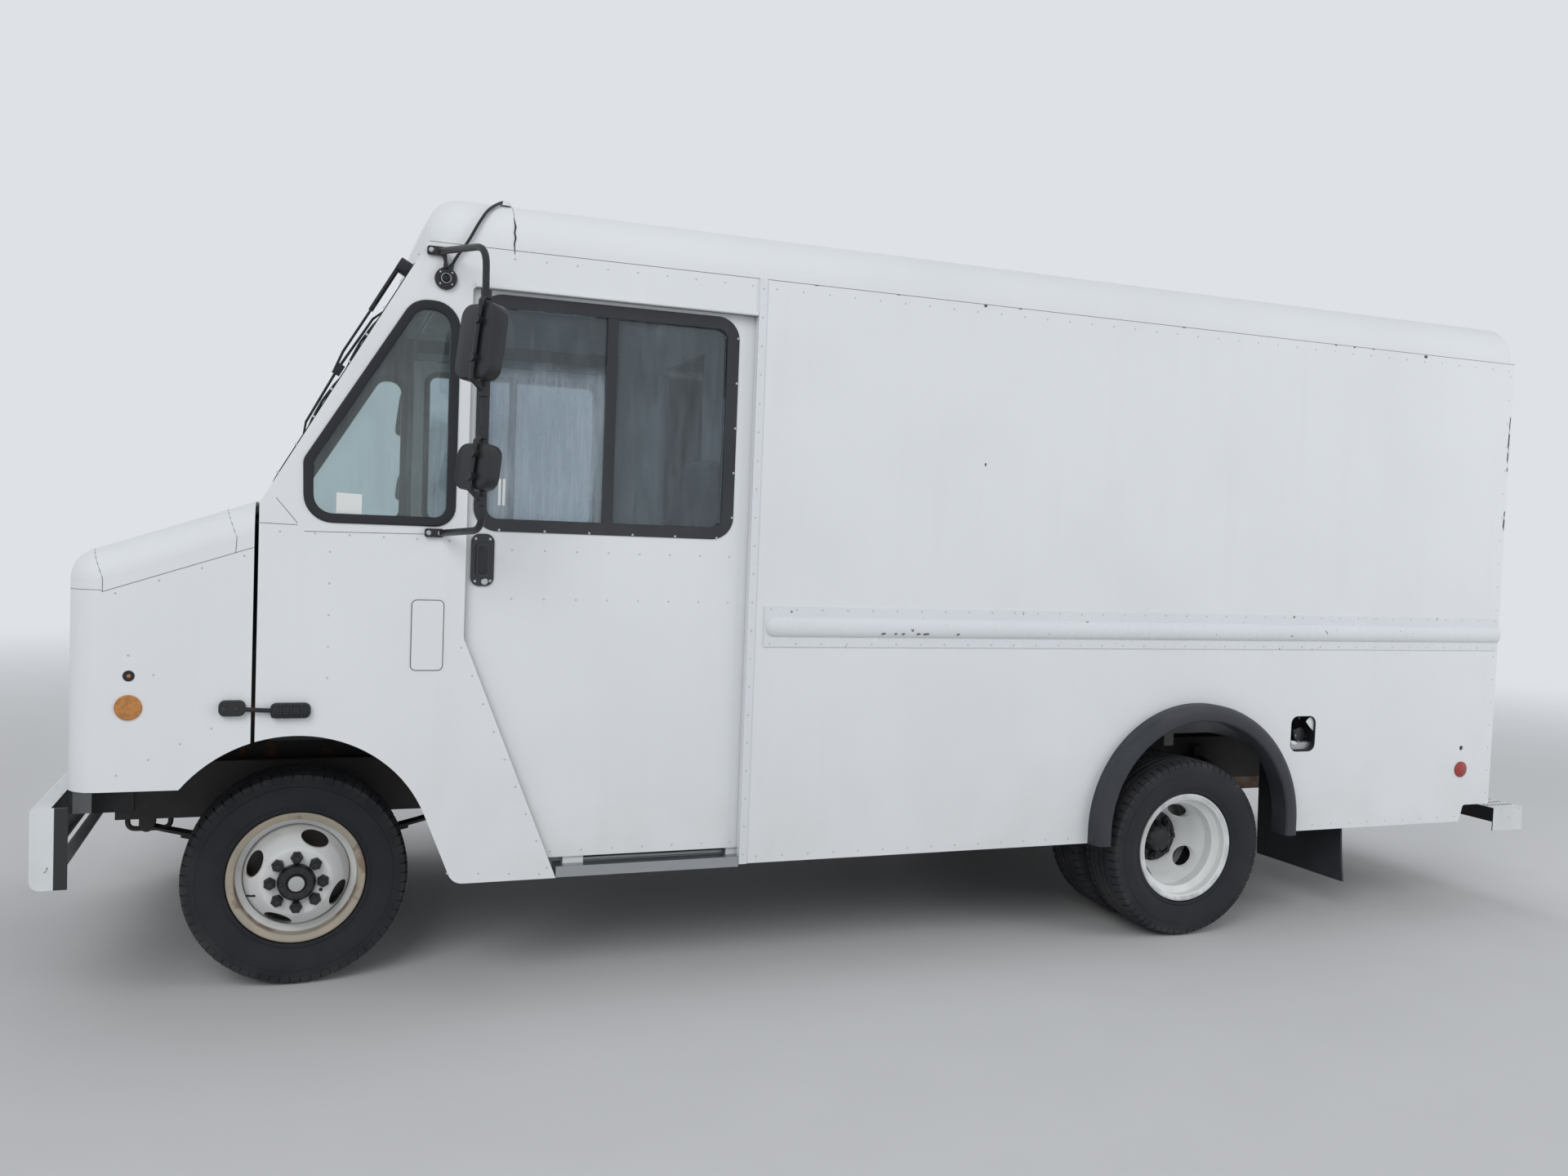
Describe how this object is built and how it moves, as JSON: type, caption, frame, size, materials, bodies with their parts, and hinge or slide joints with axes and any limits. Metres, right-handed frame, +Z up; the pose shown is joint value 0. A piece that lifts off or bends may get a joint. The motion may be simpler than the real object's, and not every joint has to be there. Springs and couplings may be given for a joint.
{
  "type": "step van",
  "caption": "Walk-in delivery van with a tilting hood, sliding cab doors, steered front wheels and dual rear wheels.",
  "frame": {"origin": "on the ground at the middle of the van's length and width", "axes": "+X to the rear, +Y to the van's right, +Z up"},
  "size_m": [6.015, 3.025, 2.665],
  "materials": {
    "white_paint": "gloss",
    "chassis_black": "satin",
    "bare_aluminium": "brushed",
    "engine_iron": "rough",
    "exhaust_steel": "dull",
    "wheel_white": "satin",
    "tyre": "matt",
    "clear_glass": "clear",
    "black_rubber": "matt",
    "black_plastic": "satin",
    "black_frame": "satin",
    "red_lens": "gloss",
    "clear_lens": "gloss",
    "grey_plastic": "matt",
    "grey_fabric": "woven"
  },
  "bodies": {
    "root": {"frame_rails": "chassis_black", "cross_members": "chassis_black", "front_bumper": "white_paint", "rear_bumper": "white_paint", "front_axle": "chassis_black", "leaf_springs": "chassis_black", "rear_axle": "chassis_black", "engine_block": "engine_iron", "radiator": "chassis_black", "exhaust_and_tank": "exhaust_steel", "floor": "bare_aluminium", "side_panel_left": "white_paint", "side_panel_right": "white_paint", "cab_side_left": "white_paint", "cab_side_right": "white_paint", "pocket_liners": "bare_aluminium", "door_tracks": "bare_aluminium", "roof": "white_paint", "front_cap": "white_paint", "windshield_frame": "white_paint", "cab_glass": "clear_glass", "cab_rubber": "black_rubber", "bulkhead": "white_paint", "rear_portal": "white_paint", "rear_door": "white_paint", "body_trim": "white_paint", "flares_and_flaps": "black_rubber", "lamps": "red_lens", "filler_recess": "white_paint", "dash": "grey_plastic", "steering": "black_plastic", "seat_base": "chassis_black", "seat_cushions": "grey_fabric", "engine_cover": "grey_plastic", "mirrors": "black_plastic", "camera_cable": "black_rubber", "wipers": "black_plastic"},
    "hood": {"hood": "white_paint", "grille_and_hooks": "black_plastic", "hood_lamps": "clear_lens"},
    "tie_rod": {"tie_rod": "chassis_black"},
    "left_door": {"door_left": "white_paint", "door_frame_left": "black_frame", "door_glass_left": "clear_glass"},
    "left_knuckle": {"knuckle_left": "chassis_black"},
    "front_left_wheel": {"front_rim_left": "wheel_white", "front_tyre_left": "tyre"},
    "rear_left_wheels": {"rear_rims_left": "wheel_white", "rear_tyres_left": "tyre"},
    "right_door": {"door_right": "white_paint", "door_frame_right": "black_frame", "door_glass_right": "clear_glass"},
    "right_knuckle": {"knuckle_right": "chassis_black"},
    "front_right_wheel": {"front_rim_right": "wheel_white", "front_tyre_right": "tyre"},
    "rear_right_wheels": {"rear_rims_right": "wheel_white", "rear_tyres_right": "tyre"}
  },
  "joints": [
    {"name": "hood_tilt", "type": "hinge", "parent": "root", "child": "hood", "pos_m": [-2.9405, 0, 0.702], "axis": [0, -1, 0], "range_deg": [0, 60]},
    {"name": "left_steer", "type": "hinge", "parent": "root", "child": "left_knuckle", "pos_m": [-2.2725, -0.6, 0.36], "axis": [0, 0, 1], "range_deg": [-32, 32]},
    {"name": "right_steer", "type": "hinge", "parent": "root", "child": "right_knuckle", "pos_m": [-2.2725, 0.6, 0.36], "axis": [0, 0, 1], "range_deg": [-32, 32]},
    {"name": "tie_rod_turn", "type": "hinge", "parent": "left_knuckle", "child": "tie_rod", "pos_m": [-2.1225, -0.6, 0.28], "axis": [0, 0, 1], "range_deg": [-32, 32]},
    {"name": "left_door_slide", "type": "slide", "parent": "root", "child": "left_door", "axis": [1, 0, 0], "range_m": [0, 0.87]},
    {"name": "front_left_spin", "type": "hinge", "parent": "left_knuckle", "child": "front_left_wheel", "pos_m": [-2.2725, -0.791, 0.36], "axis": [0, 1, 0], "continuous": true},
    {"name": "rear_left_spin", "type": "hinge", "parent": "root", "child": "rear_left_wheels", "pos_m": [1.1055, -0.953, 0.36], "axis": [0, 1, 0], "continuous": true},
    {"name": "right_door_slide", "type": "slide", "parent": "root", "child": "right_door", "axis": [1, 0, 0], "range_m": [0, 0.87]},
    {"name": "front_right_spin", "type": "hinge", "parent": "right_knuckle", "child": "front_right_wheel", "pos_m": [-2.2725, 0.791, 0.36], "axis": [0, 1, 0], "continuous": true},
    {"name": "rear_right_spin", "type": "hinge", "parent": "root", "child": "rear_right_wheels", "pos_m": [1.1055, 0.953, 0.36], "axis": [0, 1, 0], "continuous": true}
  ],
  "couplings": [
    {"joint": "right_steer", "follows": "left_steer", "ratio": 1},
    {"joint": "tie_rod_turn", "follows": "left_steer", "ratio": -1}
  ]
}
